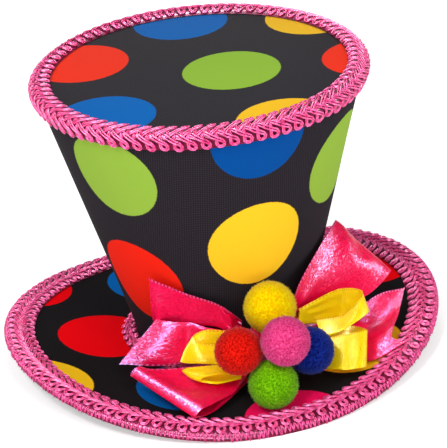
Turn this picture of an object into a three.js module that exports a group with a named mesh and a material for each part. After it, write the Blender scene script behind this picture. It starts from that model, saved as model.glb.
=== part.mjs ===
import * as THREE from 'three';
import { mergeVertices } from 'three/addons/utils/BufferGeometryUtils.js';

// Mini top hat of card covered in spotted cloth, edged with gimp braid, with a bow of satin ribbon
// and five pompoms at the front. Millimetres, +Z up, front toward -Y, standing on z = 0.

// Brim
const brimRadius = 75;
const brimCurl = 10;
const brimThickness = 1.5;
const restHalfWidth = 5;

// Crown
const crownFootRadius = 28.2;
const crownHeadRadius = 54.6;
const crownHeight = 96.8;
const crownWall = 1.6;
const crownTopThickness = 1.8;

// Gimp braid
const braidThickness = 1.4;
const braidLipThickness = 0.8;
const brimBraidWidth = 10.2;
const brimBraidTurnUnder = 3.6;
const crownBraidOnTop = 5.6;
const crownBraidDrop = 5;
const footBraidWidth = 6.2;
const footBraidRise = 2.6;
const braidPitch = 4.35;
const braidScallop = 0.45;

// Bow
const pinkWidth = 25.4;
const yellowWidth = 11.5;
const ribbonThickness = 1;
const knotAcross = 15;
const knotOut = 11.4;
const knotHigh = 14;
const knotTurn = 9;
const knotRise = 14;

// Pompoms
const pompomRadius = 8.1;
const lockDepth = 0.09;

// Hair clips
const clipLength = 44;
const clipWidth = 9;
const clipThickness = 1.8;
const clipInset = 25;

const clearance = 0.3;

// Where the layers lie
const brimUnderside = braidLipThickness + clearance;
const brimTop = brimUnderside + brimThickness;
const crownFoot = brimTop + clearance;
const crownHead = brimTop + crownHeight;
const brimEdge = brimRadius - braidThickness - clearance;
const clipOffset = brimRadius - clipInset;

const finishes = {
  blackCloth: { color: 0x242226, roughness: 0.8, metalness: 0 },
  pinkBraid: { color: 0xd95183, roughness: 0.55, metalness: 0 },
  pinkSatin: { color: 0xf00f4b, roughness: 0.35, metalness: 0 },
  yellowSatin: { color: 0xfadc14, roughness: 0.35, metalness: 0 },
  yellowFluff: { color: 0xfdd407, roughness: 0.95, metalness: 0 },
  pinkFluff: { color: 0xf03e86, roughness: 0.95, metalness: 0 },
  redFluff: { color: 0xe4140c, roughness: 0.95, metalness: 0 },
  blueFluff: { color: 0x112174, roughness: 0.95, metalness: 0 },
  greenFluff: { color: 0x76b50b, roughness: 0.95, metalness: 0 },
  steel: { color: 0xb8bcc2, roughness: 0.3, metalness: 1 },
};

const hat = new THREE.Group();

function addPiece(name, geometry, finish, parent = hat) {
  const mesh = new THREE.Mesh(geometry, new THREE.MeshStandardMaterial(finishes[finish]));
  mesh.name = name;
  parent.add(mesh);
  return mesh;
}

// How far the brim has risen at a distance x to the side, flat along the middle where it rests
function brimLift(x) {
  const past = Math.max(0, Math.abs(x) - restHalfWidth);
  return brimCurl * (past / (brimRadius - restHalfWidth)) ** 2;
}

// The crown's outer radius at a height
function crownRadius(z) {
  const share = (z - brimTop) / crownHeight;
  return crownFootRadius + (crownHeadRadius - crownFootRadius) * share;
}

// Only positions are kept, so that neighbouring faces share their corners
function weld(geometry) {
  geometry.deleteAttribute('normal');
  geometry.deleteAttribute('uv');
  const welded = mergeVertices(geometry, 1e-4);
  welded.computeVertexNormals();
  return welded;
}

// Moves each corner of a geometry by a function of its place
function reshape(geometry, move) {
  const position = geometry.attributes.position;
  const point = new THREE.Vector3();
  for (let i = 0; i < position.count; i += 1) {
    point.fromBufferAttribute(position, i);
    move(point, i);
    position.setXYZ(i, point.x, point.y, point.z);
  }
  return geometry;
}

// A ring turned about +Z from an outline of [radius, height] points that closes on itself
function turnRing(outline, segments) {
  const points = [...outline, outline[0]].map(([radius, height]) => new THREE.Vector2(radius, height));
  const ring = new THREE.LatheGeometry(points, segments, Math.PI / segments);
  return ring.rotateX(Math.PI / 2);
}

// Crown: a cone of card whose foot follows the curl of the brim
const crownSegments = 60;
const crownSideTop = crownHead - crownTopThickness - clearance;

function makeCrownSide() {
  const wall = turnRing([
    [crownRadius(crownFoot), crownFoot],
    [crownRadius(crownSideTop), crownSideTop],
    [crownRadius(crownSideTop) - crownWall, crownSideTop],
    [crownRadius(crownFoot) - crownWall, crownFoot],
  ], crownSegments);
  return weld(reshape(wall, (point) => {
    const fade = (crownSideTop - point.z) / (crownSideTop - crownFoot);
    point.z += brimLift(point.x) * fade;
  }));
}

function makeCrownTop() {
  const disc = new THREE.CylinderGeometry(
    crownHeadRadius, crownRadius(crownHead - crownTopThickness), crownTopThickness, crownSegments,
  );
  disc.rotateX(Math.PI / 2);
  return weld(disc);
}

addPiece('crown_side', makeCrownSide(), 'blackCloth');
const crownTop = addPiece('crown_top', makeCrownTop(), 'blackCloth');
crownTop.position.z = crownHead - crownTopThickness / 2;

// Brim: a flat ring of card, curled up at both sides
function makeBrim() {
  const hole = crownFootRadius - crownWall;
  const steps = [0, 0.3, 0.7, 1];
  const radii = steps.map((share) => hole + (brimEdge - hole) * share);
  const under = radii.map((radius) => [radius, brimUnderside]);
  const over = radii.map((radius) => [radius, brimTop]).reverse();
  const plate = turnRing([...under, ...over], crownSegments);
  return weld(reshape(plate, (point) => {
    point.z += brimLift(point.x);
  }));
}

addPiece('brim', makeBrim(), 'blackCloth');

// Gimp braid: each row has its place in the section, and how far its loops and leaves stand out
function makeBraid(rows, radius, bend) {
  const loops = Math.round((2 * Math.PI * radius) / braidPitch);
  const segments = 2 * loops;
  const outline = rows.map((row) => [row.radius, row.height]);
  const ring = turnRing(outline, segments);
  const rowCount = rows.length + 1;
  return weld(reshape(ring, (point, i) => {
    const row = rows[(i % rowCount) % rows.length];
    const wave = Math.floor(i / rowCount) % 2 === 0 ? 1 : -1;
    const length = Math.hypot(point.x, point.y);
    const grown = (length + wave * braidScallop * row.outward) / length;
    point.x *= grown;
    point.y *= grown;
    point.z += wave * braidScallop * row.upward + bend(point.x);
  }));
}

// The brim's braid: its rows go round the section from the lip's inner edge under the brim
const brimBraidCrest = brimTop + clearance + braidThickness;
const brimBraidRows = [
  { radius: brimRadius - brimBraidTurnUnder, height: 0, outward: 0, upward: 0 },
  { radius: brimRadius - braidThickness / 2, height: 0, outward: 0, upward: 0 },
  { radius: brimRadius - braidScallop, height: brimTop, outward: 1, upward: 0 },
  { radius: brimRadius - brimBraidWidth * 0.33, height: brimBraidCrest, outward: 0, upward: -0.7 },
  { radius: brimRadius - brimBraidWidth * 0.75, height: brimBraidCrest, outward: 0, upward: 0.7 },
  { radius: brimRadius - brimBraidWidth, height: brimTop + clearance, outward: -1, upward: 0 },
  { radius: brimEdge + clearance, height: brimTop + clearance, outward: 0, upward: 0 },
  { radius: brimEdge + clearance, height: brimUnderside - clearance, outward: 0, upward: 0 },
  { radius: brimRadius - brimBraidTurnUnder, height: brimUnderside - clearance, outward: 0, upward: 0 },
];
addPiece('brim_braid', makeBraid(brimBraidRows, brimRadius, brimLift), 'pinkBraid');

// The crown's braid: from its lower edge on the wall, up and over onto the top
const crownSlope = (crownHeadRadius - crownFootRadius) / crownHeight;
const footHeight = crownHead - crownBraidDrop;
const footRadius = crownRadius(footHeight) + clearance;
const seatHeight = crownHead + clearance;
const seatRadius = crownHeadRadius + clearance;
const crestHeight = seatHeight + braidThickness;
const crownBraidRows = [
  { radius: footRadius, height: footHeight, outward: crownSlope, upward: 1 },
  { radius: footRadius + braidThickness, height: footHeight + braidThickness, outward: 0.5, upward: 0 },
  { radius: seatRadius + braidThickness, height: crownHead, outward: -0.5, upward: 0 },
  { radius: crownHeadRadius - crownBraidOnTop * 0.25, height: crestHeight, outward: 0, upward: 0.5 },
  { radius: crownHeadRadius - crownBraidOnTop * 0.7, height: crestHeight, outward: 0, upward: -0.5 },
  { radius: crownHeadRadius - crownBraidOnTop, height: seatHeight, outward: -1, upward: 0 },
  { radius: seatRadius, height: seatHeight, outward: 0, upward: 0 },
];
addPiece('crown_braid', makeBraid(crownBraidRows, crownHeadRadius, () => 0), 'pinkBraid');

// The braid round the crown's foot: it slopes from the wall down onto the brim
const footEdge = crownFootRadius + footBraidWidth;
const footBraidRows = [
  { radius: crownRadius(crownFoot) + clearance, height: crownFoot, outward: 0, upward: 0 },
  { radius: footEdge, height: crownFoot, outward: 1, upward: 0 },
  { radius: footEdge - braidThickness, height: crownFoot + braidThickness, outward: 0, upward: 0 },
  { radius: crownRadius(brimTop + footBraidRise) + clearance, height: brimTop + footBraidRise, outward: 0, upward: 0 },
];
addPiece('foot_braid', makeBraid(footBraidRows, footEdge, brimLift), 'pinkBraid');

// A place by the bow: turned about the hat's axis, reaching out level from the crown's wall and
// rising above the brim's upper face
function placeByCrown(turn, reach, rise) {
  const angle = THREE.MathUtils.degToRad(turn);
  const place = new THREE.Vector3(0, 0, brimTop + rise);
  for (let round = 0; round < 5; round += 1) {
    const radius = crownRadius(place.z) + reach;
    place.x = radius * Math.sin(angle);
    place.y = -radius * Math.cos(angle);
    place.z = brimTop + brimLift(place.x) + rise;
  }
  return place;
}

// Bow knot: the plain hidden middle, a barrel lying across the crown's wall
function makeKnot() {
  const shoulder = 0.4;
  const profile = [[0, -0.5], [shoulder, -0.5], [0.5, -0.3], [0.5, 0.3], [shoulder, 0.5], [0, 0.5]];
  const points = profile.map(([radius, height]) => new THREE.Vector2(radius, height));
  const barrel = new THREE.LatheGeometry(points, 20);
  barrel.rotateZ(Math.PI / 2);
  barrel.scale(knotAcross, knotHigh, knotOut);
  barrel.rotateX(Math.PI / 2);
  return weld(barrel);
}

const knotPlace = placeByCrown(knotTurn, clearance + knotOut * 0.54, knotRise);
const knot = addPiece('bow_knot', makeKnot(), 'pinkSatin');
knot.position.copy(knotPlace);
knot.rotation.z = THREE.MathUtils.degToRad(knotTurn);

// Ribbon: a sheet through rows that give both of its edges as [turn in degrees, reach, rise], the
// last two as shares of the ribbon's width. A notch sets its middle line at a share across the
// ribbon and draws the end of that line back.
function makeRibbon(rows, width, notch = { at: 0.5, depth: 0 }) {
  const edge = (side) => new THREE.CatmullRomCurve3(rows.map((row) => {
    const [turn, reach, rise] = row[side];
    return placeByCrown(turn, reach * width, rise * width);
  }));
  const upper = edge('upper');
  const lower = edge('lower');
  const last = rows.length - 1;
  const along = last * 3;
  const sheet = new THREE.BoxGeometry(1, 1, 1, along, 2, 1);
  const step = 1e-3;
  const middle = (share) => upper.getPoint(share).lerp(lower.getPoint(share), 0.5);
  return weld(reshape(sheet, (point) => {
    const isMiddle = Math.abs(point.y) < 0.25;
    const face = isMiddle ? notch.at : point.y + 0.5;
    const share = (point.x + 0.5) * (isMiddle ? 1 - notch.depth : 1);
    const across = lower.getPoint(share).sub(upper.getPoint(share));
    const before = middle(Math.max(0, share - step));
    const after = middle(Math.min(1, share + step));
    const normal = after.sub(before).cross(across).normalize();
    const side = point.z * ribbonThickness;
    const place = upper.getPoint(share).addScaledVector(across, face);
    point.copy(place.addScaledVector(normal, side));
  }));
}

const pinkRibbons = {
  ribbon_tail_upper_left: [
    { upper: [-4, 0.12, 0.86], lower: [-4, 0.12, 0.64] },
    { upper: [-13, 0.13, 1.12], lower: [-13, 0.13, 0.74] },
    { upper: [-30, 0.08, 1.32], lower: [-31, 0.1, 0.78] },
    { upper: [-46, 0.12, 1.52], lower: [-51, 0.12, 0.76] },
  ],
  ribbon_tail_left: [
    { upper: [-4, 0.12, 0.6], lower: [-4, 0.22, 0.42] },
    { upper: [-18.3, 0.2, 0.76], lower: [-19.1, 0.26, 0.37] },
    { upper: [-31.7, 0.2, 0.84], lower: [-34.6, 0.42, 0.3] },
    { upper: [-46.9, 0.2, 0.83], lower: [-57.6, 0.8, 0.26] },
  ],
  ribbon_loop_lower_left: [
    { upper: [-4, 0.24, 0.34], lower: [-4.3, 0.55, 0.2] },
    { upper: [-21, 0.3, 0.24], lower: [-12.4, 0.98, 0.17] },
    { upper: [-43.9, 0.81, 0.38], lower: [-19.7, 1.36, 0.16] },
    { upper: [-47, 1.02, 0.33], lower: [-23.5, 1.53, 0.12] },
    { upper: [-43.8, 0.82, 0.2], lower: [-19.8, 1.3, 0.05] },
    { upper: [-24.8, 0.3, 0.1], lower: [-12.1, 0.88, 0.06] },
    { upper: [-8, 0.24, 0.15], lower: [-4.9, 0.63, 0.1] },
  ],
  ribbon_loop_upper_right: [
    { upper: [22, 0.14, 0.84], lower: [22, 0.2, 0.66] },
    { upper: [25.4, 0.17, 1.16], lower: [44.8, 0.34, 0.6] },
    { upper: [57.1, 0.06, 1.5], lower: [57.7, 0.76, 0.5] },
    { upper: [69.7, 0.1, 1.45], lower: [68.1, 1.01, 0.6] },
    { upper: [72.7, 0.16, 1.1], lower: [72.5, 0.86, 0.38] },
    { upper: [51.6, 0.13, 0.6], lower: [52.3, 0.4, 0.28] },
    { upper: [22, 0.14, 0.52], lower: [22, 0.22, 0.4] },
  ],
  ribbon_tail_lower_right: [
    { upper: [22, 0.3, 0.4], lower: [22, 0.36, 0.28] },
    { upper: [46, 0.42, 0.2], lower: [35, 0.7, 0.08] },
    { upper: [58, 0.78, 0.36], lower: [37, 1.3, 0.06] },
    { upper: [66.1, 1.25, 0.35], lower: [45, 1.57, 0.14] },
  ],
};
const notches = { ribbon_tail_lower_right: { at: 0.84, depth: 0.13 } };
for (const [name, rows] of Object.entries(pinkRibbons)) {
  addPiece(name, makeRibbon(rows, pinkWidth, notches[name]), 'pinkSatin');
}

const yellowRibbons = {
  yellow_loop_upper_left: [
    { upper: [-6.9, 1.1, 1.63], lower: [-6.1, 1.3, 0.94] },
    { upper: [-21.4, 1.05, 1.58], lower: [-18.9, 1.2, 0.91] },
    { upper: [-27.8, 0.72, 1.62], lower: [-31.8, 1.38, 1.04] },
    { upper: [-21.8, 0.7, 1.89], lower: [-19.8, 0.95, 1.02] },
    { upper: [-3, 0.56, 1.52], lower: [-4, 0.7, 0.98] },
  ],
  yellow_loop_lower_left: [
    { upper: [-7.4, 1.5, 1.01], lower: [-9.4, 1.95, 0.96] },
    { upper: [-21, 1.45, 0.99], lower: [-18.2, 2.1, 1.1] },
    { upper: [-30.4, 1.6, 0.89], lower: [-22.7, 2, 0.81] },
    { upper: [-22.1, 1.35, 0.66], lower: [-18.7, 2.05, 0.69] },
    { upper: [-7, 1.3, 0.8], lower: [-8.9, 1.8, 0.64] },
  ],
  yellow_loop_upper_right: [
    { upper: [25.2, 0.6, 1.82], lower: [23.4, 0.75, 1.39] },
    { upper: [45.2, 1.1, 1.89], lower: [44.5, 1.25, 0.82] },
    { upper: [45.8, 1.75, 1.83], lower: [44.2, 2.15, 1.29] },
    { upper: [36.2, 1.75, 1.54], lower: [31.6, 2.05, 1.33] },
    { upper: [27.3, 1.2, 1.54], lower: [25.5, 1.65, 1.14] },
  ],
  yellow_loop_lower_right: [
    { upper: [21, 0.86, 1], lower: [21, 0.98, 0.66] },
    { upper: [42, 1.65, 0.85], lower: [37, 2, 0.4] },
    { upper: [39.4, 2.4, 0.94], lower: [30.5, 3.1, 0.36] },
    { upper: [31.9, 2.1, 1.13], lower: [23.9, 2.9, 0.55] },
    { upper: [25.7, 1.45, 1.02], lower: [21, 2.1, 0.41] },
  ],
};
for (const [name, rows] of Object.entries(yellowRibbons)) {
  addPiece(name, makeRibbon(rows, yellowWidth), 'yellowSatin');
}

// Pompoms: a round head with short locks drawn up all over it
function makePompom(radius) {
  const tips = weld(new THREE.IcosahedronGeometry(1, 1)).attributes.position;
  const tip = new THREE.Vector3();
  const outward = new THREE.Vector3();
  return weld(reshape(new THREE.IcosahedronGeometry(radius, 3), (point) => {
    outward.copy(point).normalize();
    let nearest = -1;
    for (let i = 0; i < tips.count; i += 1) {
      tip.fromBufferAttribute(tips, i);
      nearest = Math.max(nearest, tip.dot(outward));
    }
    const fromTip = Math.min(1, Math.acos(Math.min(1, nearest)) / 0.3);
    point.setLength(radius * (1 - lockDepth * fromTip));
  }));
}

// Each pompom's size, and its place from the knot, as shares of the named radius
const pompoms = [
  { name: 'pompom_yellow', finish: 'yellowFluff', size: 1.08, across: -0.24, out: 0.88, up: 1.8 },
  { name: 'pompom_pink', finish: 'pinkFluff', size: 1.01, across: -0.6, out: 2.91, up: 1.28 },
  { name: 'pompom_red', finish: 'redFluff', size: 0.98, across: -2.17, out: 1.79, up: 0.79 },
  { name: 'pompom_blue', finish: 'blueFluff', size: 0.98, across: 0.79, out: 2.2, up: 0.11 },
  { name: 'pompom_green', finish: 'greenFluff', size: 1.02, across: -1.13, out: 2.58, up: -0.66 },
];
const cluster = new THREE.Group();
cluster.position.copy(knotPlace);
cluster.rotation.z = THREE.MathUtils.degToRad(knotTurn);
hat.add(cluster);
for (const pompom of pompoms) {
  const ball = addPiece(pompom.name, makePompom(pompomRadius * pompom.size), pompom.finish, cluster);
  ball.position.set(pompom.across, -pompom.out, pompom.up).multiplyScalar(pompomRadius);
}

// Hair clips: plain flat bars with round ends, lying along the underside of the curled brim
function makeClip() {
  const half = clipWidth / 2;
  const straight = clipLength / 2 - half;
  const outline = new THREE.Shape();
  outline.moveTo(half, -straight);
  outline.lineTo(half, straight);
  outline.absarc(0, straight, half, 0, Math.PI, false);
  outline.lineTo(-half, -straight);
  outline.absarc(0, -straight, half, Math.PI, 2 * Math.PI, false);
  const bar = new THREE.ExtrudeGeometry(outline, { depth: clipThickness, bevelEnabled: false, curveSegments: 6 });
  bar.translate(0, 0, -clipThickness);
  return weld(bar);
}

for (const [name, side] of [['clip_left', -1], ['clip_right', 1]]) {
  const inner = clipOffset - clipWidth / 2;
  const outer = clipOffset + clipWidth / 2;
  const rise = brimLift(outer) - brimLift(inner);
  const clip = addPiece(name, makeClip(), 'steel');
  clip.position.set(side * clipOffset, 0, brimUnderside + (brimLift(inner) + brimLift(outer)) / 2 - 2 * clearance);
  clip.rotation.y = -side * Math.atan2(rise, clipWidth);
}

export default hat;
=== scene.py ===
import math
import random
import bpy
from mathutils import Matrix, Vector


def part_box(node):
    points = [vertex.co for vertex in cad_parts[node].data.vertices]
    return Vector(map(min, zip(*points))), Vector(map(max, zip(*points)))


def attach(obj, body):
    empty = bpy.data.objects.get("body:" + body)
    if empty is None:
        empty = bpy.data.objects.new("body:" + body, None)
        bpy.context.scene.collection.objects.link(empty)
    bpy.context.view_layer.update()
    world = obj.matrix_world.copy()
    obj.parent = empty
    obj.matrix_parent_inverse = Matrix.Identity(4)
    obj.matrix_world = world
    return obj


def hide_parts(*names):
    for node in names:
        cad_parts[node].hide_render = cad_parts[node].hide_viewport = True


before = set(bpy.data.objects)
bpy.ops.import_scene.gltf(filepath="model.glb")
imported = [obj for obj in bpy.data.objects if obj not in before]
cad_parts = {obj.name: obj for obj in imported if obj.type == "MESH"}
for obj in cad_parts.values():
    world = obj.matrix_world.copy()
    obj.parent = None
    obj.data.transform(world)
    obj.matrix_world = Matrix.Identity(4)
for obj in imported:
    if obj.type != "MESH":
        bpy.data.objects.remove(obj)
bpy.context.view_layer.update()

# Mini top hat: spotted cloth over card, looped gimp braid, a satin bow and five pompoms.
# Sizes are written in millimetres and turned to metres by mm.
mm = 0.001
# the same random draws each run
random.seed(7)

hat = {
    "brimUnderside": 1.1, "brimTop": 2.6, "brimEdge": 73.3, "brimRadius": 75.0,
    "brimCurl": 10.0, "restHalfWidth": 5.0,
    "crownFoot": 2.9, "crownFootRadius": 28.2, "crownHeadRadius": 54.6, "crownHeight": 96.8,
    "wall": 1.6, "lid": 1.8, "gap": 0.3, "sides": 192,
}


def brimLift(x):
    past = max(0.0, abs(x) - hat["restHalfWidth"])
    return hat["brimCurl"] * (past / (hat["brimRadius"] - hat["restHalfWidth"])) ** 2


def crownRadius(z):
    share = (z - hat["brimTop"]) / hat["crownHeight"]
    return hat["crownFootRadius"] + (hat["crownHeadRadius"] - hat["crownFootRadius"]) * share


crownHead = hat["brimTop"] + hat["crownHeight"]


# small helpers for selection, modifiers, placing, colours and nodes
def deselectAll():
    if bpy.context.object and bpy.context.object.mode != "OBJECT":
        bpy.ops.object.mode_set(mode="OBJECT")
    bpy.ops.object.select_all(action="DESELECT")


def nameNew(name):
    piece = bpy.context.active_object
    piece.name = name
    piece.data.name = name
    return piece


def makeActive(piece):
    deselectAll()
    piece.select_set(True)
    bpy.context.view_layer.objects.active = piece


def applyModifier(piece, kind, **settings):
    makeActive(piece)
    modifier = piece.modifiers.new(kind.lower(), kind)
    for setting, value in settings.items():
        setattr(modifier, setting, value)
    bpy.ops.object.modifier_apply(modifier=modifier.name)


def cleanNormals(piece):
    makeActive(piece)
    bpy.ops.object.mode_set(mode="EDIT")
    bpy.ops.mesh.select_all(action="SELECT")
    bpy.ops.mesh.remove_doubles(threshold=0.00002)
    bpy.ops.mesh.normals_make_consistent(inside=False)
    bpy.ops.object.mode_set(mode="OBJECT")


def smoothShade(piece, degrees=40):
    makeActive(piece)
    bpy.ops.object.shade_smooth_by_angle(angle=math.radians(degrees))


def placeAtOrigin(piece):
    makeActive(piece)
    bpy.ops.object.transform_apply(location=True, rotation=True, scale=True)


def finishPiece(piece, material, slotName, *nodes):
    placeAtOrigin(piece)
    piece.data.materials.clear()
    piece.data.materials.append(material)
    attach(piece, "root")
    if slotName in lustrousSlots:
        lustrous.objects.link(piece)
    if nodes:
        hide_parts(*nodes)
    return piece


def setFlatMap(piece, flatPlace):
    # the piece's UV map holds the place on the flat cloth in millimetres
    layer = piece.data.uv_layers.get("flat") or piece.data.uv_layers.new(name="flat")
    layer.active = True
    layer.active_render = True
    for face in piece.data.polygons:
        centre = face.center / mm
        for loop in face.loop_indices:
            place = piece.data.vertices[piece.data.loops[loop].vertex_index].co / mm
            layer.data[loop].uv = flatPlace(place, centre)


def linear(hexColour):
    channels = [int(hexColour[i:i + 2], 16) / 255 for i in (1, 3, 5)]
    return tuple(c / 12.92 if c <= 0.04045 else ((c + 0.055) / 1.055) ** 2.4 for c in channels) + (1.0,)


def addNode(tree, kind, sockets=None, **settings):
    node = tree.nodes.new("ShaderNode" + kind)
    for setting, value in settings.items():
        setattr(node, setting, value)
    for socket, value in (sockets or {}).items():
        if isinstance(value, bpy.types.NodeSocket):
            tree.links.new(value, node.inputs[socket])
        else:
            node.inputs[socket].default_value = value
    return node


def startMaterial(name):
    material = bpy.data.materials.new(name)
    material.use_nodes = True
    tree = material.node_tree
    tree.nodes.clear()
    return material, tree


def endMaterial(tree, **sockets):
    shader = addNode(tree, "BsdfPrincipled", {key.replace("_", " "): value for key, value in sockets.items()})
    addNode(tree, "OutputMaterial", {"Surface": shader.outputs["BSDF"]})
    return shader


print("camera and light")

camera = {
    "place": (-189.198, -762.795, 419.000),
    "right": (0.95609, -0.28169, -0.08088),
    "up": (0.19247, 0.39538, 0.89813),
    "lens": 206.29,
}
cameraData = bpy.data.cameras.new("photoView")
cameraData.lens = camera["lens"]
cameraData.sensor_width = 36
cameraData.clip_start = 0.05
cameraData.clip_end = 20
cameraObject = bpy.data.objects.new("photoView", cameraData)
bpy.context.scene.collection.objects.link(cameraObject)
right = Vector(camera["right"]).normalized()
up = (Vector(camera["up"]) - right * right.dot(Vector(camera["up"]))).normalized()
turned = Matrix((right, up, right.cross(up))).transposed().to_4x4()
cameraObject.matrix_world = Matrix.Translation(Vector(camera["place"]) * mm) @ turned
bpy.context.scene.camera = cameraObject

# soft boxes: key from the upper left, a wide high front fill, and small glint boxes that light
# only the satin and the cord, and show there as highlights alone
lights = [
    {"name": "keyBox", "place": (-0.50, -0.62, 0.95), "size": 0.22, "power": 5.4, "glint": False},
    {"name": "frontBox", "place": (0.15, -0.95, 0.85), "size": 0.45, "power": 4.3, "glint": False},
    {"name": "leftBox", "place": (-0.68, -0.80, 0.34), "size": 0.18, "power": 0.9, "glint": False},
    {"name": "rightBox", "place": (1.00, -0.28, 0.20), "size": 0.20, "power": 1.3, "glint": False},
    {"name": "topBox", "place": (0.14, 0.44, 0.98), "size": 0.22, "power": 1.2, "glint": False},
    {"name": "keyGlint", "place": (-0.56, -0.26, 0.93), "size": 0.18, "power": 180.0, "glint": True},
    {"name": "overheadGlint", "place": (-0.05, -0.35, 1.15), "size": 0.14, "power": 45.0, "glint": True},
    {"name": "leftGlint", "place": (-0.68, -0.80, 0.34), "size": 0.14, "power": 52.0, "glint": True},
    {"name": "rightGlint", "place": (0.95, -0.32, 0.08), "size": 0.12, "power": 30.0, "glint": True},
    {"name": "topGlint", "place": (0.14, 0.44, 0.98), "size": 0.16, "power": 50.0, "glint": True},
    {"name": "lowGlint", "place": (-0.45, -1.05, 0.08), "size": 0.12, "power": 80.0, "glint": True},
]
lustrous = bpy.data.collections.new("lustrous")
lustrousSlots = ("pink_satin", "yellow_satin", "pink_braid")
# every lamp looks at the middle of the hat
lampTarget = Vector((0, 0, 0.04))
for light in lights:
    lamp = bpy.data.lights.new(light["name"], "AREA")
    lamp.size = light["size"]
    lamp.energy = light["power"]
    holder = bpy.data.objects.new(light["name"], lamp)
    if light["glint"]:
        holder.visible_diffuse = False
        holder.light_linking.receiver_collection = lustrous
    bpy.context.scene.collection.objects.link(holder)
    holder.location = light["place"]
    towards = lampTarget - holder.location
    holder.rotation_euler = towards.to_track_quat("-Z", "Y").to_euler()

world = bpy.data.worlds.new("studio")
bpy.context.scene.world = world
world.use_nodes = True
background = world.node_tree.nodes["Background"]
background.inputs["Color"].default_value = (1, 1, 1, 1)
background.inputs["Strength"].default_value = 0.35
bpy.context.scene.view_settings.view_transform = "Standard"

# plain pale floor with a faint tooth
deselectAll()
bpy.ops.mesh.primitive_plane_add(size=6)
floor = nameNew("floor")
floorMaterial, tree = startMaterial("whitePaintedBoard")
noise = addNode(tree, "TexNoise", {"Scale": 900.0, "Detail": 2.0})
bump = addNode(tree, "Bump", {"Height": noise.outputs["Fac"], "Strength": 0.05, "Distance": 0.0002})
endMaterial(
    tree, Base_Color=linear("#fefefe"), Roughness=0.9, Emission_Color=linear("#ffffff"),
    Emission_Strength=0.45, Normal=bump.outputs["Normal"])
floor.data.materials.append(floorMaterial)

print("spotted cloth")

# one print covers the whole hat, but some of its colours come in lit and shaded copies: the lid's red is
# painted lighter and the brim's red and yellow brighter as painted light, and the side's blue and green darker
# as painted shade
spotColours = {
    "green": "#94c03c", "greenPaintedShadeSide": "#90b440", "blue": "#0668ba", "bluePaintedShadeSide": "#044a94", "red": "#ee2412",
    "redPaintedLitLid": "#fb361b", "redPaintedLitBrim": "#ff0412", "pink": "#ff1260", "yellow": "#fbc626", "yellowPaintedLitBrim": "#ffd020",
}
# the printed spots: radius, how far the edge wanders and fades, and their shade in the weave
printed = {"radius": 16.2, "wander": 0.5, "outer": 0.5, "inner": 0.15, "shade": 0.88}

# where the spots lie on each flat piece of cloth: colour, across, along
lidSpots = [
    ("green", 9.6, -5.6), ("blue", -37.9, -23.9), ("redPaintedLitLid", -34.7, 23.8), ("blue", 6.1, 44.7),
    ("yellow", 48.6, 27.7), ("redPaintedLitLid", 54.7, -15.8), ("yellow", 14.0, -52.4),
]
sideSpots = [
    ("greenPaintedShadeSide", -45.1, 182.5), ("yellow", 3.6, 159.5), ("bluePaintedShadeSide", 4.6, 203.3), ("greenPaintedShadeSide", 40.5, 175.1),
    ("red", -37.0, 137.7), ("yellow", -109.0, 155.6), ("bluePaintedShadeSide", -97.4, 114.1), ("red", 84.8, 170.0),
    ("bluePaintedShadeSide", 70.0, 121.2), ("yellow", 122.6, 138.6), ("greenPaintedShadeSide", 102.0, 98.6),
]
brimSpots = [
    ("redPaintedLitBrim", -39.8, 7.1), ("yellowPaintedLitBrim", -68.6, -25.4), ("redPaintedLitBrim", -58.6, 49.0), ("blue", -12.8, 46.0),
    ("blue", -23.4, -36.0), ("pink", 4.4, -67.8), ("yellowPaintedLitBrim", 36.1, -35.7), ("green", 32.0, 55.0),
    ("yellow", 4.0, 72.0), ("redPaintedLitBrim", 64.0, 13.0), ("blue", 73.0, 48.0), ("green", -36.0, -72.0),
]


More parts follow.
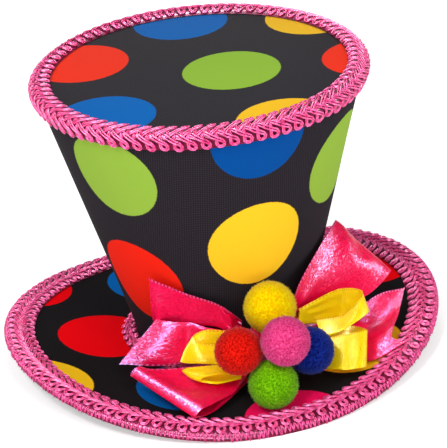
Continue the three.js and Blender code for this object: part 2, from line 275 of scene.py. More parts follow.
def makeSpottedCloth(name, spots, blacks, sheen):
    # matt cotton print over card: near black ground with a fine grey weave, flat bright spots
    material, tree = startMaterial(name)
    flat = addNode(tree, "UVMap", uv_map="flat").outputs["UV"]
    wobble = addNode(tree, "TexNoise", {"Vector": flat, "Scale": 1.1, "Detail": 2.0})
    mottle = addNode(tree, "TexNoise", {"Vector": flat, "Scale": 2.2, "Detail": 3.0, "Roughness": 0.7})
    # threads are 0.25 mm apart in the real cloth, drawn 0.75 mm apart so that they show
    threads = {"Vector": flat, "Scale": 0.42, "Distortion": 0.6, "Detail Scale": 2.0}
    warp = addNode(tree, "TexWave", threads, bands_direction="X")
    weft = addNode(tree, "TexWave", threads, bands_direction="Y")
    weave = addNode(tree, "Math", {0: warp.outputs["Fac"], 1: weft.outputs["Fac"]}, operation="MULTIPLY")
    speck = addNode(tree, "Math", {0: weave.outputs[0], 1: mottle.outputs["Fac"]}, operation="MULTIPLY")
    ground = addNode(tree, "ValToRGB", {"Fac": speck.outputs[0]})
    ground.color_ramp.elements[0].position = 0.05
    ground.color_ramp.elements[0].color = linear(blacks[0])
    ground.color_ramp.elements[1].position = 0.55
    ground.color_ramp.elements[1].color = linear(blacks[1])
    colour = ground.outputs["Color"]
    for spot, across, along in spots:
        away = addNode(tree, "VectorMath", {0: flat, 1: (across, along, 0)}, operation="DISTANCE")
        edge = addNode(tree, "Math", {
            0: wobble.outputs["Fac"], 1: printed["wander"], 2: away.outputs["Value"]}, operation="MULTIPLY_ADD")
        inside = addNode(tree, "MapRange", {
            "Value": edge.outputs[0], "From Min": printed["radius"] + printed["outer"],
            "From Max": printed["radius"] + printed["inner"]})
        bright = linear(spotColours[spot])
        dim = tuple(printed["shade"] * channel for channel in bright)
        shade = addNode(tree, "Mix", {0: speck.outputs[0], 6: bright, 7: dim}, data_type="RGBA")
        mixed = addNode(tree, "Mix", {
            0: inside.outputs["Result"], 6: colour, 7: shade.outputs[2]}, data_type="RGBA")
        colour = mixed.outputs[2]
    bump = addNode(tree, "Bump", {"Height": weave.outputs[0], "Strength": 0.35, "Distance": 0.00006})
    endMaterial(
        tree, Base_Color=colour, Roughness=0.85, Specular_IOR_Level=0.03, Sheen_Weight=sheen,
        Sheen_Roughness=0.5, Normal=bump.outputs["Normal"])
    return material


# the same cloth on every piece, its black ground painted lighter on the lid as painted light from above and
# darker on the brim as painted shade
lidCloth = makeSpottedCloth("mattCottonPrintLid", lidSpots, ("#2c2a2e", "#403f45"), 0.06)
sideCloth = makeSpottedCloth("mattCottonPrintSide", sideSpots, ("#231f24", "#39343b"), 0.01)
brimCloth = makeSpottedCloth("mattCottonPrintBrim", brimSpots, ("#1a181a", "#2b282b"), 0.0)

# sine of the cone's half angle: the share of a full turn that its cloth fills when laid flat
coneShare = 1 / math.hypot(1, hat["crownHeight"] / (hat["crownHeadRadius"] - hat["crownFootRadius"]))


def flatOnCone(place, centre):
    # the cone of the crown laid out flat, its seam at the back
    angle = math.atan2(place.x, -place.y)
    middle = math.atan2(centre.x, -centre.y)
    if angle - middle > math.pi:
        angle -= 2 * math.pi
    if middle - angle > math.pi:
        angle += 2 * math.pi
    reach = math.hypot(place.x, place.y) / coneShare
    return (reach * math.sin(angle * coneShare), reach * math.cos(angle * coneShare))


# rings of faces up the side, and the faint flats that the card shows where it was rolled
crown = {"rings": 12, "flats": 5, "flatDepth": 0.0022, "flatTwist": 0.05}


def makeCrownSide():
    low, high = hat["crownFoot"], crownHead - hat["lid"] - hat["gap"]
    tall = high - low
    deselectAll()
    bpy.ops.mesh.primitive_cone_add(
        vertices=hat["sides"], radius1=crownRadius(low) * mm, radius2=crownRadius(high) * mm,
        depth=tall * mm, end_fill_type="NOTHING", location=(0, 0, (low + high) / 2 * mm))
    piece = nameNew("crown_side_cloth")
    placeAtOrigin(piece)
    bpy.ops.object.mode_set(mode="EDIT")
    for cut in range(1, crown["rings"]):
        bpy.ops.mesh.select_all(action="SELECT")
        bpy.ops.mesh.bisect(plane_co=(0, 0, (low + tall * cut / crown["rings"]) * mm), plane_no=(0, 0, 1))
    bpy.ops.object.mode_set(mode="OBJECT")
    for vertex in piece.data.vertices:
        place = vertex.co / mm
        angle = math.atan2(place.x, -place.y)
        wave = math.sin(crown["flats"] * angle + crown["flatTwist"] * place.z)
        swell = 1 + crown["flatDepth"] * wave * math.sin(math.pi * (place.z - low) / tall)
        fade = (high - place.z) / tall
        vertex.co = Vector((place.x * swell, place.y * swell, place.z + brimLift(place.x) * fade)) * mm
    applyModifier(piece, "SOLIDIFY", thickness=hat["wall"] * mm, offset=-1)
    cleanNormals(piece)
    setFlatMap(piece, flatOnCone)
    smoothShade(piece)
    return finishPiece(piece, sideCloth, "spotted_cloth", "crown_side")


lid = {"inset": 0.1, "edge": 0.35, "edgeSteps": 3}


def makeCrownLid():
    deselectAll()
    bpy.ops.mesh.primitive_cylinder_add(
        vertices=hat["sides"], radius=(hat["crownHeadRadius"] - lid["inset"]) * mm, depth=hat["lid"] * mm,
        location=(0, 0, (crownHead - hat["lid"] / 2) * mm))
    piece = nameNew("crown_top_cloth")
    bpy.ops.object.mode_set(mode="EDIT")
    bpy.ops.mesh.select_all(action="SELECT")
    bpy.ops.mesh.bevel(offset=lid["edge"] * mm, segments=lid["edgeSteps"], affect="EDGES")
    bpy.ops.object.mode_set(mode="OBJECT")
    placeAtOrigin(piece)
    setFlatMap(piece, lambda place, centre: (place.x, place.y))
    smoothShade(piece)
    return finishPiece(piece, lidCloth, "spotted_cloth", "crown_top")


# rings of faces across the brim, and how far off the spots its underside takes its cloth
brim = {"rings": 12, "plainCloth": 400}


def makeBrim():
    hole, edge, rings = hat["crownFootRadius"] - hat["wall"], hat["brimEdge"], brim["rings"]
    middle = (0, 0, hat["brimUnderside"] * mm)
    deselectAll()
    bpy.ops.mesh.primitive_circle_add(vertices=hat["sides"], radius=hole * mm, location=middle)
    piece = nameNew("brim_cloth")
    bpy.ops.object.mode_set(mode="EDIT")
    bpy.ops.mesh.select_all(action="SELECT")
    reached = hole
    for ring in range(1, rings + 1):
        wanted = hole + (edge - hole) * ring / rings
        bpy.ops.mesh.extrude_edges_move()
        grown = wanted / reached
        bpy.ops.transform.resize(value=(grown, grown, 1), center_override=middle)
        reached = wanted
    bpy.ops.object.mode_set(mode="OBJECT")
    placeAtOrigin(piece)
    for vertex in piece.data.vertices:
        vertex.co.z += brimLift(vertex.co.x / mm) * mm
    makeActive(piece)
    bpy.ops.object.mode_set(mode="EDIT")
    bpy.ops.mesh.select_all(action="SELECT")
    bpy.ops.mesh.normals_make_consistent(inside=False)
    bpy.ops.object.mode_set(mode="OBJECT")
    if piece.data.polygons[0].normal.z < 0:
        piece.data.flip_normals()
    applyModifier(piece, "SOLIDIFY", thickness=(hat["brimTop"] - hat["brimUnderside"]) * mm, offset=1)
    cleanNormals(piece)

    def flatOnBrim(place, centre):
        # the hidden underside is plain: its cloth is taken from beyond the spots
        under = centre.z - brimLift(centre.x) < (hat["brimTop"] + hat["brimUnderside"]) / 2
        return (place.x, place.y + (brim["plainCloth"] if under else 0))

    setFlatMap(piece, flatOnBrim)
    smoothShade(piece)
    return finishPiece(piece, brimCloth, "spotted_cloth", "brim")


makeCrownSide()
makeCrownLid()
makeBrim()

print("gimp braid")

# wander is how far one loop may differ from the next
braid = {
    "pitch": 4.35, "thread": 0.29, "apart": 0.28, "fineThread": 0.2, "wander": 0.06, "netWander": 0.12,
    "netShift": 0.3, "netsPerLoop": 3,
    # one loop of the cord: along, across from the middle, height over the ground
    "loop": [
        (-1.10, -0.40, 0.15), (-0.25, 0.05, 0.42), (0.75, 0.45, 0.66), (1.75, 0.85, 0.84), (2.80, 1.20, 0.96),
        (3.85, 1.50, 1.02), (4.85, 1.85, 0.98), (5.45, 2.55, 0.88), (5.40, 3.35, 0.76), (4.75, 3.90, 0.64),
        (3.85, 3.85, 0.56), (3.25, 3.25, 0.52), (3.15, 2.40, 0.40), (3.25, 1.50, 0.20), (3.20, 0.60, 0.02),
    ],
    "net": [
        (0.0, 4.0, 0.15), (0.4, 4.7, 0.28), (0.75, 5.6, 0.32),
        (1.0, 6.4, 0.3), (1.2, 5.6, 0.22), (1.35, 4.8, 0.12),
    ],
}

# the ground's section under the cords, radius and height from its inner edge outward, and the
# place in it where the two rows of loops meet
braids = [
    {"node": "brim_braid", "name": "brim_gimp", "radius": 75.0, "loops": 108, "turn": -1, "net": True,
     "lift": 1.0, "middle": 4.6, "reach": 1.05,
     "top": [(64.5, 2.95), (66.6, 3.4), (68.9, 3.6), (71.2, 3.45),
             (73.2, 2.95), (74.3, 2.1), (74.55, 1.2), (74.3, 0.25)],
     "under": [(73.9, 0.06), (71.6, 0.1), (71.6, 0.75), (73.65, 0.8), (73.65, 2.75), (64.5, 2.8)]},
    {"node": "crown_braid", "name": "crown_gimp", "radius": 54.6, "loops": 79, "turn": 1, "net": False,
     "lift": 0.0, "middle": 5.8, "reach": 1.25,
     "top": [(49.3, 99.75), (50.4, 100.5), (52.4, 100.75), (54.3, 100.5),
             (55.3, 99.6), (55.45, 98.2), (54.95, 96.4), (54.3, 94.8)],
     "under": [(53.75, 94.5), (54.7, 98.9), (54.8, 99.65)]},
    {"node": "foot_braid", "name": "foot_gimp", "radius": 34.4, "loops": 46, "turn": 1, "net": False,
     "lift": 1.0, "middle": 2.9, "reach": 0.62,
     "top": [(29.35, 5.3), (30.2, 5.0), (31.5, 4.4), (32.8, 3.7), (33.9, 3.15), (34.3, 2.95)],
     "under": [(29.0, 2.9), (28.8, 4.2)]},
]


def alongSection(points, distance):
    # the place and the outward normal at a distance along a section
    for (r0, z0), (r1, z1) in zip(points, points[1:]):
        step = math.hypot(r1 - r0, z1 - z0)
        if distance <= step or (r1, z1) == points[-1]:
            share = distance / step
            return r0 + (r1 - r0) * share, z0 + (z1 - z0) * share, -(z1 - z0) / step, (r1 - r0) / step
        distance -= step


def smoothSection(points, rounds=2):
    # cuts each corner at a quarter of its sides
    for _ in range(rounds):
        cut = [points[0]]
        for (r0, z0), (r1, z1) in zip(points, points[1:]):
            cut.append((0.75 * r0 + 0.25 * r1, 0.75 * z0 + 0.25 * z1))
            cut.append((0.25 * r0 + 0.75 * r1, 0.25 * z0 + 0.75 * z1))
        points = cut + [points[-1]]
    return points


def offsetLoop(table, pitch, away):
    # the same loop drawn beside itself, for the second thread of a twin cord
    out = []
    for i, (along, across, height) in enumerate(table):
        a0, c0, _ = table[i - 1] if i else (table[-1][0] - pitch, table[-1][1], 0)
        a1, c1, _ = table[i + 1] if i + 1 < len(table) else (table[0][0] + pitch, table[0][1], 0)
        step = math.hypot(a1 - a0, c1 - c0)
        out.append((along - (c1 - c0) / step * away, across + (a1 - a0) / step * away, height))
    return out


def sweepCord(name, lines, radius):
    # round cord along each closed line of points in millimetres
    curve = bpy.data.curves.new(name, "CURVE")
    curve.dimensions = "3D"
    curve.bevel_depth = radius * mm
    curve.bevel_resolution = 1
    for line in lines:
        spline = curve.splines.new("POLY")
        spline.points.add(len(line) - 1)
        for point, place in zip(spline.points, line):
            point.co = (*(place * mm), 1)
        spline.use_cyclic_u = True
        spline.use_smooth = True
    holder = bpy.data.objects.new(name, curve)
    bpy.context.scene.collection.objects.link(holder)
    makeActive(holder)
    bpy.ops.object.convert(target="MESH")
    return nameNew(name)


def layCord(kind, table, pitch, count, side, offset, wander):
    # repeats the loop round the ring, one side of the middle or the other
    section = smoothSection(kind["top"])
    line = []
    for i in range(count):
        loose = 1 + random.uniform(-wander, wander)
        slip = random.uniform(-wander, wander)
        for along, across, height in table:
            angle = kind["turn"] * 2 * math.pi * (i + offset + (along + slip) / pitch) / count
            out = kind["middle"] + side * across * loose * kind["reach"]
            radius, z, normalOut, normalUp = alongSection(section, max(0.02, out))
            radius += normalOut * height
            x, y = radius * math.sin(angle), -radius * math.cos(angle)
            line.append(Vector((x, y, z + normalUp * height + kind["lift"] * brimLift(x))))
    return line


def makeBraid(kind, groundMaterial, cordMaterial, netMaterial):
    # ground band: its section is turned round the hat
    section = smoothSection(kind["top"], 1) + kind["under"]
    deselectAll()
    mesh = bpy.data.meshes.new(kind["name"] + "_ground")
    edges = [(i, (i + 1) % len(section)) for i in range(len(section))]
    mesh.from_pydata([(r * mm, 0, z * mm) for r, z in section], edges, [])
    ground = bpy.data.objects.new(kind["name"] + "_ground", mesh)
    bpy.context.scene.collection.objects.link(ground)
    applyModifier(
        ground, "SCREW", angle=2 * math.pi, steps=hat["sides"], render_steps=hat["sides"],
        use_merge_vertices=True, merge_threshold=0.00001)
    cleanNormals(ground)
    for vertex in ground.data.vertices:
        vertex.co.z += kind["lift"] * brimLift(vertex.co.x / mm) * mm
    setFlatMap(ground, lambda place, centre: (
        math.atan2(centre.x, -centre.y) * kind["radius"], math.hypot(place.x, place.y) - place.z))
    smoothShade(ground, 60)
    finishPiece(ground, groundMaterial, "pink_braid", kind["node"])
    # two mirrored rows of looped twin cord, half a loop apart
    lines = []
    for side, offset in ((1, 0.0), (-1, 0.5)):
        for away in (-braid["apart"], braid["apart"]):
            table = offsetLoop(braid["loop"], braid["pitch"], away)
            # the same draws for both threads keep a twin cord together
            random.seed(kind["loops"] + side)
            lines.append(layCord(kind, table, braid["pitch"], kind["loops"], side, offset, braid["wander"]))
    cords = sweepCord(kind["name"] + "_cords", lines, braid["thread"])
    finishPiece(cords, cordMaterial, "pink_braid")
    if kind["net"]:
        # a finer crossing thread nets the rim below the loops
        pitch = braid["pitch"] / braid["netsPerLoop"]
        count = braid["netsPerLoop"] * kind["loops"]
        crossing = [(pitch - a, b, c) for a, b, c in reversed(braid["net"])]
        lines = [
            layCord(kind, table, pitch, count, 1, offset, braid["netWander"])
            for table, offset in ((braid["net"], 0.0), (crossing, braid["netShift"]))]
        net = sweepCord(kind["name"] + "_net", lines, braid["fineThread"])
        finishPiece(net, netMaterial, "pink_braid")


def makeCordMaterial(name, dark, bright):
    # lustrous rayon cord: silky highlights broken by its fine twist
    material, tree = startMaterial(name)
    place = addNode(tree, "TexCoord").outputs["Object"]
    patch = addNode(tree, "TexNoise", {"Vector": place, "Scale": 700.0, "Detail": 3.0})
    # the wrapping thread is 0.1 mm thick, drawn 0.35 mm so that it breaks the highlight
    twist = addNode(tree, "TexNoise", {"Vector": place, "Scale": 2800.0, "Detail": 1.0})
    ramp = addNode(tree, "ValToRGB", {"Fac": patch.outputs["Fac"]})
    ramp.color_ramp.elements[0].position = 0.3
    ramp.color_ramp.elements[0].color = linear(dark)
    ramp.color_ramp.elements[1].position = 0.7
    ramp.color_ramp.elements[1].color = linear(bright)
    bump = addNode(tree, "Bump", {"Height": twist.outputs["Fac"], "Strength": 0.3, "Distance": 0.0001})
    endMaterial(
        tree, Base_Color=ramp.outputs["Color"], Roughness=0.35, Specular_IOR_Level=0.2,
        Specular_Tint=linear("#ffa8d0"), Normal=bump.outputs["Normal"])
    return material


cordPink = makeCordMaterial("silkyRayonCordPink", "#e0206e", "#ff7cbc")
netPink = makeCordMaterial("fineRayonNetPink", "#b01058", "#f0509a")
# the ground's deep pink is partly the backing's own colour and partly painted shade in the gaps between the
# loops
groundPinkAndGapShade = makeCordMaterial("knottedRayonGroundAndGapShade", "#4c001e", "#88083a")
for kind in braids:
    makeBraid(kind, groundPinkAndGapShade, cordPink, netPink)

print("satin ribbons")

ribbons = {
    "pinkWidth": 25.4, "yellowWidth": 11.5, "thickness": 0.22, "along": 60, "across": 26,
    # what is turned under: the space inside the fold, the share of the grid that is face, and the
    # least in mm and the most as a share of the face
    "fold": 0.55, "front": 0.6, "leastUnder": 0.4, "mostUnder": 0.9,
    # pleats at the knot: their number, height as a share of the width, and reach along the ribbon
    "pleats": 3, "gather": 0.02, "gatherReach": 0.2,
}

# rows of each ribbon from the knot outward: turn in degrees, reach and rise as shares of its
# width, for the upper edge and then the lower edge
pinkRows = {
    "ribbon_tail_upper_left": [
        (-4, 0.12, 0.86, -4, 0.12, 0.64), (-13, 0.13, 1.12, -13, 0.13, 0.74),
        (-30, 0.08, 1.32, -31, 0.1, 0.78), (-46, 0.12, 1.52, -51, 0.12, 0.76),
    ],
    "ribbon_tail_left": [
        (-4, 0.12, 0.63, -4, 0.22, 0.42), (-18.3, 0.2, 0.8, -19.1, 0.26, 0.37),
        (-31.7, 0.2, 0.88, -34.6, 0.42, 0.3), (-46.9, 0.2, 0.86, -57.6, 0.8, 0.26),
    ],
    "ribbon_loop_lower_left": [
        (-4, 0.24, 0.34, -4.3, 0.55, 0.2), (-21, 0.3, 0.24, -12.4, 0.98, 0.17),
        (-43.9, 0.81, 0.38, -19.7, 1.36, 0.16), (-47, 1.02, 0.33, -23.5, 1.53, 0.12),
        (-43.8, 0.82, 0.2, -19.8, 1.3, 0.05), (-24.8, 0.3, 0.1, -12.1, 0.88, 0.06),
        (-8, 0.24, 0.15, -4.9, 0.63, 0.1),
    ],
    "ribbon_loop_upper_right": [
        (22, 0.14, 0.84, 22, 0.2, 0.66), (25.4, 0.17, 1.16, 44.8, 0.34, 0.6),
        (57.1, 0.06, 1.5, 57.7, 0.76, 0.5), (69.7, 0.1, 1.45, 68.1, 1.01, 0.6),
        (72.7, 0.16, 1.1, 72.5, 0.86, 0.38), (51.6, 0.13, 0.6, 52.3, 0.4, 0.28),
        (22, 0.14, 0.52, 22, 0.22, 0.4),
    ],
    "ribbon_tail_lower_right": [
        (22, 0.3, 0.4, 22, 0.36, 0.28), (46, 0.42, 0.2, 35, 0.7, 0.08),
        (58, 0.78, 0.36, 37, 1.3, 0.06), (66.1, 1.25, 0.35, 45, 1.57, 0.14),
    ],
}
yellowRows = {
    "yellow_loop_upper_left": [
        (-6.9, 1.1, 1.63, -6.1, 1.3, 0.94), (-21.4, 1.05, 1.58, -18.9, 1.2, 0.91),
        (-27.8, 0.72, 1.62, -31.8, 1.38, 1.04), (-21.8, 0.7, 1.89, -19.8, 0.95, 1.02),
        (-3, 0.56, 1.52, -4, 0.7, 0.98),
    ],
    "yellow_loop_lower_left": [
        (-7.4, 1.5, 1.01, -9.4, 1.95, 0.96), (-21, 1.45, 0.99, -18.2, 2.1, 1.1),
        (-30.4, 1.6, 0.89, -22.7, 2, 0.81), (-22.1, 1.35, 0.66, -18.7, 2.05, 0.69),
        (-7, 1.3, 0.8, -8.9, 1.8, 0.64),
    ],
    "yellow_loop_upper_right": [
        (25.2, 0.6, 1.82, 23.4, 0.75, 1.39), (45.2, 1.1, 1.89, 44.5, 1.25, 0.82),
        (45.8, 1.75, 1.83, 44.2, 2.15, 1.29), (36.2, 1.75, 1.54, 31.6, 2.05, 1.33),
        (27.3, 1.2, 1.54, 25.5, 1.65, 1.14),
    ],
    "yellow_loop_lower_right": [
        (21, 0.86, 1, 21, 0.98, 0.66), (42, 1.65, 0.85, 37, 2, 0.4),
        (39.4, 2.4, 0.94, 30.5, 3.1, 0.36), (31.9, 2.1, 1.13, 23.9, 2.9, 0.55),
        (25.7, 1.45, 1.02, 21, 2.1, 0.41),
    ],
}
# how each ribbon is held, which edge is turned under, where and how deep its end is notched, and
# its folds: share along, share across, height, and how far each reaches along and across
ribbonShapes = {
    "ribbon_tail_upper_left": {"held": "hung", "tucked": "lower", "notch": (0.5, 0.0), "folds": [
        (0.24, 0.85, 3.0, 0.10, 0.5), (0.45, 0.55, -0.8, 0.14, 0.6), (0.94, 0.70, 2.4, 0.09, 0.5)]},
    "ribbon_tail_left": {"held": "hung", "tucked": "upper", "notch": (0.5, 0.0), "folds": [
        (0.86, 0.45, 1.9, 0.11, 0.8), (0.62, 0.50, -1.6, 0.09, 0.8), (0.36, 0.40, 1.0, 0.1, 0.5)]},
    "ribbon_loop_lower_left": {"held": "folded", "tucked": "lower", "notch": (0.5, 0.0), "folds": [
        (0.41, 0.50, 2.4, 0.07, 1.2), (0.30, 0.25, -1.8, 0.07, 0.4), (0.30, 0.85, 2.0, 0.09, 0.3)]},
    "ribbon_loop_upper_right": {"held": "folded", "tucked": "lower", "notch": (0.5, 0.0), "folds": [
        (0.35, 0.50, 2.4, 0.07, 0.24), (0.40, 0.28, 1.5, 0.05, 0.14), (0.45, 0.10, 1.1, 0.05, 0.12),
        (0.41, 0.70, 1.4, 0.06, 0.14), (0.25, 0.92, -1.4, 0.08, 0.2), (0.12, 0.30, 1.2, 0.06, 0.3)]},
    "ribbon_tail_lower_right": {"held": "laid", "tucked": "lower", "notch": (0.84, 0.13), "folds": [
        (0.80, -0.06, 2.4, 0.14, 0.22), (0.78, 0.32, -2.4, 0.14, 0.2), (0.84, 0.72, 2.2, 0.14, 0.2)]},
    "yellow_loop_upper_left": {"held": "folded", "tucked": "lower", "notch": (0.5, 0.0), "folds": [
        (0.50, 0.60, 1.3, 0.12, 0.5), (0.36, 0.70, -0.5, 0.06, 0.5)]},
    "yellow_loop_lower_left": {"held": "folded", "tucked": "lower", "notch": (0.5, 0.0), "folds": [
        (0.50, 0.50, 1.2, 0.12, 0.6)]},
    "yellow_loop_upper_right": {"held": "folded", "tucked": "lower", "notch": (0.5, 0.0), "folds": [
        (0.62, 0.50, 0.6, 0.08, 0.6), (0.30, 0.40, 0.5, 0.1, 0.4)]},
    "yellow_loop_lower_right": {"held": "folded", "tucked": "lower", "notch": (0.5, 0.0), "folds": [
        (0.60, 0.50, 0.7, 0.07, 0.8), (0.72, 0.60, -0.5, 0.06, 0.6)]},
}


def placeByCrown(turn, reach, rise):
    # a place by its turn round the hat, its reach from the crown and its rise over the brim, found
    # in a few rounds because the crown leans and the brim curls
    angle = math.radians(turn)
    x, y, z = 0.0, 0.0, hat["brimTop"] + rise
    for _ in range(5):
        radius = crownRadius(z) + reach
        x, y = radius * math.sin(angle), -radius * math.cos(angle)
        z = hat["brimTop"] + brimLift(x) + rise
    return Vector((x, y, z))


def pointOnLine(points, share):
    # the same centripetal curve through the points as the solid's edges follow
    last = len(points) - 1
    place = min(max(share, 0.0), 1.0) * last
    i = min(int(place), last - 1)
    t = place - i
    b, c = points[i], points[i + 1]
    a = points[i - 1] if i > 0 else 2 * b - c
    d = points[i + 2] if i + 2 <= last else 2 * c - b
    s0, s1, s2 = (max((p - q).length_squared ** 0.25, 1e-4) for p, q in ((a, b), (b, c), (c, d)))
    m1 = (b - a) / s0 - (c - a) / (s0 + s1) + (c - b) / s1
    m2 = (c - b) / s1 - (d - b) / (s1 + s2) + (d - c) / s2
    m1, m2 = m1 * s1, m2 * s1
    return b + m1 * t + (-3 * b + 3 * c - 2 * m1 - m2) * t * t + (2 * b - 2 * c + m1 + m2) * t ** 3


def inwardSide(upper, lower, looped):
    # which side of a ribbon is its back: the inside of a loop, or the hat behind a tail
    middle = [(pointOnLine(upper, i / 20) + pointOnLine(lower, i / 20)) / 2 for i in range(21)]
    centre = sum(middle, Vector()) / 21
    total = 0
    for i in range(1, 20):
        normal = (middle[i + 1] - middle[i - 1]).cross(pointOnLine(lower, i / 20) - pointOnLine(upper, i / 20))
        inward = centre - middle[i] if looped else Vector((-middle[i].x, -middle[i].y, -20))
        total += normal.normalized().dot(inward.normalized())
    return 1 if total > 0 else -1


def makeRibbon(name, rows, width, material, slotName):
    shape = ribbonShapes[name]
    upper = [placeByCrown(r[0], r[1] * width, r[2] * width) for r in rows]
    lower = [placeByCrown(r[3], r[4] * width, r[5] * width) for r in rows]
    back = inwardSide(upper, lower, shape["held"] == "folded")
    deselectAll()
    bpy.ops.mesh.primitive_grid_add(
        x_subdivisions=ribbons["along"], y_subdivisions=ribbons["across"], size=1, calc_uvs=True)
    piece = nameNew(name + "_satin")
    middle = [(pointOnLine(upper, i / 200) + pointOnLine(lower, i / 200)) / 2 for i in range(201)]
    length = sum((q - p).length for p, q in zip(middle, middle[1:]))
    clothPlace = []
    front = ribbons["front"]
    near = 0.004
    for vertex in piece.data.vertices:
        s, v = vertex.co.x + 0.5, vertex.co.y + 0.5
        if shape["tucked"] == "upper":
            v = 1 - v
        # v runs over the face of the ribbon to front, and then over what is turned under
        face = min(1.0, v / front)
        at, depth = shape["notch"]
        share = s * (1 - depth * min(face / at, (1 - face) / (1 - at)))
        top, bottom = pointOnLine(upper, share), pointOnLine(lower, share)
        if shape["tucked"] == "upper":
            top, bottom = bottom, top
        chord = bottom - top
        before = (pointOnLine(upper, share - near) + pointOnLine(lower, share - near)) / 2
        after = (pointOnLine(upper, share + near) + pointOnLine(lower, share + near)) / 2
        across = pointOnLine(lower, share) - pointOnLine(upper, share)
        normal = (after - before).cross(across).normalized() * back
        tuck = max(ribbons["leastUnder"], min(width - chord.length, ribbons["mostUnder"] * chord.length))
        under = tuck * max(0.0, (v - front) / (1 - front))
        # the first millimetre past the edge rounds the fold
        place = top + chord * face - chord.normalized() * max(0.0, under - 0.5 * ribbons["fold"])
        place += normal * ribbons["fold"] * math.sin(min(1.0, under) * math.pi / 2)
        # small pleats where the ribbon is gathered at the knot
        fading = math.exp(-(share / ribbons["gatherReach"]) ** 2)
        bulge = ribbons["gather"] * width * fading * math.cos(2 * math.pi * ribbons["pleats"] * face)
        for at, side, height, reach, spread in shape["folds"]:
            bulge += height * math.exp(-((share - at) / reach) ** 2 - ((face - side) / spread) ** 2)
        vertex.co = (place - normal * bulge) * mm
        clothPlace.append((share * length, chord.length * face + under))
    layer = piece.data.uv_layers[0]
    layer.name = "flat"
    for loop, corner in zip(piece.data.loops, layer.data):
        corner.uv = clothPlace[loop.vertex_index]
    applyModifier(piece, "SOLIDIFY", thickness=ribbons["thickness"] * mm, offset=0)
    smoothShade(piece, 60)
    finishPiece(piece, material, slotName, name)
    return piece


def makeSatin(name, bright, deep, edgeLight, edgeDeep, glint, sparkle, gloss):
    # polyester satin: deep colour, sparkling pale highlights, a faintly dotted woven edge
    material, tree = startMaterial(name)
    flat = addNode(tree, "UVMap", uv_map="flat").outputs["UV"]
    parts = addNode(tree, "SeparateXYZ", {"Vector": flat})
    # the floats are 0.05 mm apart in real satin, drawn 0.5 mm apart so that they sparkle
    streakPlace = addNode(tree, "Mapping", {"Vector": flat, "Scale": (1.6, 2.4, 1.0)})
    streak = addNode(tree, "TexNoise", {
        "Vector": streakPlace.outputs["Vector"], "Scale": 1.0, "Detail": 2.0, "Roughness": 0.8})
    ramp = addNode(tree, "ValToRGB", {"Fac": streak.outputs["Fac"]})
    ramp.color_ramp.elements[0].position = 0.3
    ramp.color_ramp.elements[0].color = linear(deep)
    ramp.color_ramp.elements[1].position = 0.65
    ramp.color_ramp.elements[1].color = linear(bright)
    # the woven edge is 0.7 mm wide, its picks 0.4 mm apart in real ribbon, drawn 1 mm apart
    atEdge = addNode(tree, "Math", {0: parts.outputs["Y"], 1: 0.7}, operation="LESS_THAN")
    picks = addNode(tree, "Math", {0: parts.outputs["X"], 1: 2 * math.pi}, operation="MULTIPLY")
    wave = addNode(tree, "Math", {0: picks.outputs[0]}, operation="SINE")
    dots = addNode(tree, "MapRange", {"Value": wave.outputs[0], "From Min": -0.6, "From Max": 1.0})
    edgeColour = addNode(tree, "Mix", {
        0: dots.outputs["Result"], 6: linear(edgeDeep), 7: linear(edgeLight)}, data_type="RGBA")
    colour = addNode(tree, "Mix", {
        0: atEdge.outputs[0], 6: ramp.outputs["Color"], 7: edgeColour.outputs[2]}, data_type="RGBA")
    relief = addNode(tree, "Math", {
        0: wave.outputs[0], 1: atEdge.outputs[0], 2: streak.outputs["Fac"]}, operation="MULTIPLY_ADD")
    bump = addNode(tree, "Bump", {"Height": relief.outputs[0], "Strength": 0.15, "Distance": 0.0002})
    # each small patch of floats tilts its own way, so a highlight breaks into sparkles
    facetPlace = addNode(tree, "Mapping", {"Vector": flat, "Scale": (2.3, 3.0, 1.0)})
    facet = addNode(tree, "TexVoronoi", {"Vector": facetPlace.outputs["Vector"], "Scale": 1.0})
    tilt = addNode(tree, "VectorMath", {0: facet.outputs["Color"], 1: (0.5, 0.5, 0.5)}, operation="SUBTRACT")
    tilted = addNode(tree, "VectorMath", {
        0: tilt.outputs["Vector"], 1: (sparkle, sparkle, sparkle), 2: bump.outputs["Normal"]},
        operation="MULTIPLY_ADD")
    facing = addNode(tree, "VectorMath", {0: tilted.outputs["Vector"]}, operation="NORMALIZE")
    endMaterial(
        tree, Base_Color=colour.outputs[2], Roughness=0.34, Specular_IOR_Level=gloss,
        Specular_Tint=linear(glint), Normal=facing.outputs["Vector"])
    return material


pinkSatin = makeSatin(
    "polyesterSatinPink", "#f2004e", "#e60032", "#e85c94", "#c80040",
    glint="#a8b0ff", sparkle=0.28, gloss=0.2)
yellowSatin = makeSatin(
    "polyesterSatinYellow", "#ffe410", "#ffd000", "#ffe030", "#f0b400",
    glint="#ffe8a0", sparkle=0.12, gloss=0.1)

# seat is how far the knot's middle stands off the crown, as a share of its thickness
knot = {
    "turn": 9, "rise": 14, "out": 11.4, "across": 15, "high": 14, "seat": 0.54, "trim": 0.96,
    "waist": 0.22, "ridges": 0.035, "radius": 6, "rings": 14,
}


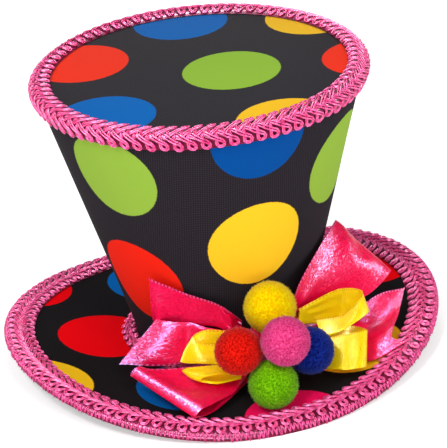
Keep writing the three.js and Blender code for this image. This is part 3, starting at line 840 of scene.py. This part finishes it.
def makeKnot():
    # hidden middle of the bow: a ribbon wound round the gathered ends
    centre = placeByCrown(knot["turn"], hat["gap"] + knot["out"] * knot["seat"], knot["rise"])
    deselectAll()
    bpy.ops.mesh.primitive_cylinder_add(vertices=48, radius=0.5, depth=1, location=(0, 0, 0))
    piece = nameNew("bow_knot_wrap")
    bpy.ops.object.mode_set(mode="EDIT")
    for cut in range(1, knot["rings"]):
        bpy.ops.mesh.select_all(action="SELECT")
        bpy.ops.mesh.bisect(plane_co=(0, 0, cut / knot["rings"] - 0.5), plane_no=(0, 0, 1))
    bpy.ops.object.mode_set(mode="OBJECT")
    turn = Matrix.Rotation(math.radians(knot["turn"]), 3, "Z")
    for vertex in piece.data.vertices:
        x, y, z = vertex.co
        girth = 1 - knot["waist"] * (1 - math.cos(2 * math.pi * z)) + knot["ridges"] * math.cos(6 * math.pi * z)
        place = Vector((z * knot["across"] * knot["trim"], y * knot["out"] * girth, x * knot["high"] * girth))
        vertex.co = (turn @ place + centre) * mm
    setFlatMap(piece, lambda place, _: (
        math.atan2(place.z - centre.z, place.x - centre.x) * knot["radius"], place.x))
    cleanNormals(piece)
    smoothShade(piece)
    finishPiece(piece, pinkSatin, "pink_satin", "bow_knot")
    # it lies in the shade of the pompoms, so the glint boxes leave it out
    lustrous.objects.unlink(piece)


makeKnot()
for name, rows in pinkRows.items():
    makeRibbon(name, rows, ribbons["pinkWidth"], pinkSatin, "pink_satin")
for name, rows in yellowRows.items():
    makeRibbon(name, rows, ribbons["yellowWidth"], yellowSatin, "yellow_satin")

print("pompoms")

# the head is the rough ball under the pile, its size and the strands' roots as shares of the radius;
# scatter and uneven spread the strands' directions and lengths; lumps, strands and lean are in mm
pompoms = {
    "strands": 7000, "strandRadius": 0.14, "head": 0.92, "root": 0.88, "lean": 0.5, "bend": 0.3,
    "scatter": 0.02, "uneven": 0.028, "lumps": (-0.25, 0.2),
    "colours": {
        "pompom_yellow": ("yellow_fluff", "#ffea00", "#f8b800"),
        "pompom_pink": ("pink_fluff", "#ff5ca4", "#d41c68"),
        "pompom_red": ("red_fluff", "#fa2416", "#b80404"),
        "pompom_blue": ("blue_fluff", "#1a349c", "#080e58"),
        "pompom_green": ("green_fluff", "#8cd010", "#4c9004"),
    },
}


def makeFluff(name, bright, dark):
    # clipped acrylic pile: deep colour between the strand tips, no gloss; its faint glow in its own colour is
    # painted light, standing in for light that passes through the pile
    material, tree = startMaterial(name)
    place = addNode(tree, "TexCoord").outputs["Object"]
    tuft = addNode(tree, "TexNoise", {"Vector": place, "Scale": 1500.0, "Detail": 2.0})
    ramp = addNode(tree, "ValToRGB", {"Fac": tuft.outputs["Fac"]})
    ramp.color_ramp.elements[0].position = 0.35
    ramp.color_ramp.elements[0].color = linear(dark)
    ramp.color_ramp.elements[1].position = 0.6
    ramp.color_ramp.elements[1].color = linear(bright)
    endMaterial(
        tree, Base_Color=ramp.outputs["Color"], Roughness=0.9, Specular_IOR_Level=0.0, Sheen_Weight=0.1,
        Sheen_Roughness=0.5, Emission_Color=ramp.outputs["Color"], Emission_Strength=0.08)
    return material


def makePompom(node, slotName, bright, dark):
    low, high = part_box(node)
    centre, radius = (low + high) / 2, (high - low).length / math.sqrt(3) / 2
    deselectAll()
    bpy.ops.mesh.primitive_ico_sphere_add(subdivisions=4, radius=radius * pompoms["head"], location=centre)
    piece = nameNew(node + "_fluff")
    placeAtOrigin(piece)
    for vertex in piece.data.vertices:
        out = (vertex.co - centre).normalized()
        vertex.co += out * random.uniform(*pompoms["lumps"]) * mm
    vertices, faces = [], []
    golden = math.pi * (3 - math.sqrt(5))
    for i in range(pompoms["strands"]):
        z = 1 - 2 * (i + 0.5) / pompoms["strands"]
        flat = math.sqrt(1 - z * z)
        out = Vector((flat * math.cos(golden * i), flat * math.sin(golden * i), z))
        out = (out + Vector([random.gauss(0, pompoms["scatter"]) for _ in range(3)])).normalized()
        side = out.orthogonal().normalized()
        side.rotate(Matrix.Rotation(random.uniform(0, 2 * math.pi), 3, out))
        other = out.cross(side)
        lean = side * random.uniform(0, pompoms["lean"])
        reach = radius * random.gauss(1.0, pompoms["uneven"])
        base = radius * pompoms["root"]
        root = centre + out * base
        middle = centre + out * (base + reach) / 2 + lean * pompoms["bend"] * mm
        tip = centre + out * reach + lean * mm
        first = len(vertices)
        for place, size in ((root, 1.0), (middle, 0.9)):
            for k in range(3):
                turn = 2 * math.pi * k / 3
                ring = side * math.cos(turn) + other * math.sin(turn)
                vertices.append(place + ring * size * pompoms["strandRadius"] * mm)
        vertices.append(tip)
        for k in range(3):
            n = (k + 1) % 3
            faces.append((first + k, first + n, first + 3 + n, first + 3 + k))
            faces.append((first + 3 + k, first + 3 + n, first + 6))
    mesh = bpy.data.meshes.new(node + "_strands")
    mesh.from_pydata(vertices, [], faces)
    strands = bpy.data.objects.new(node + "_strands", mesh)
    bpy.context.scene.collection.objects.link(strands)
    makeActive(strands)
    piece.select_set(True)
    bpy.context.view_layer.objects.active = piece
    bpy.ops.object.join()
    smoothShade(piece, 180)
    # strands shade like the round pile they make up
    piece.data.normals_split_custom_set_from_vertices(
        [(vertex.co - centre).normalized() for vertex in piece.data.vertices])
    pile = makeFluff("clippedAcrylicPile" + node.split("_")[1].title(), bright, dark)
    finishPiece(piece, pile, slotName, node)


for node, (slotName, bright, dark) in pompoms["colours"].items():
    makePompom(node, slotName, bright, dark)

print("hair clips")


def makeSteel():
    # brushed stainless strip: fine grain along the clip breaks its highlight
    material, tree = startMaterial("brushedSteelStrip")
    place = addNode(tree, "TexCoord").outputs["Object"]
    grainPlace = addNode(tree, "Mapping", {"Vector": place, "Scale": (4000.0, 60.0, 4000.0)})
    grain = addNode(tree, "TexNoise", {"Vector": grainPlace.outputs["Vector"], "Scale": 1.0, "Detail": 3.0})
    rough = addNode(tree, "MapRange", {"Value": grain.outputs["Fac"], "To Min": 0.22, "To Max": 0.42})
    bump = addNode(tree, "Bump", {"Height": grain.outputs["Fac"], "Strength": 0.15, "Distance": 0.00005})
    endMaterial(
        tree, Base_Color=linear("#c9ccd0"), Metallic=1.0, Roughness=rough.outputs["Result"],
        Normal=bump.outputs["Normal"])
    return material


steel = makeSteel()
for node in ("clip_left", "clip_right"):
    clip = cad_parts[node]
    clip.data.materials.clear()
    clip.data.materials.append(steel)

print("done")
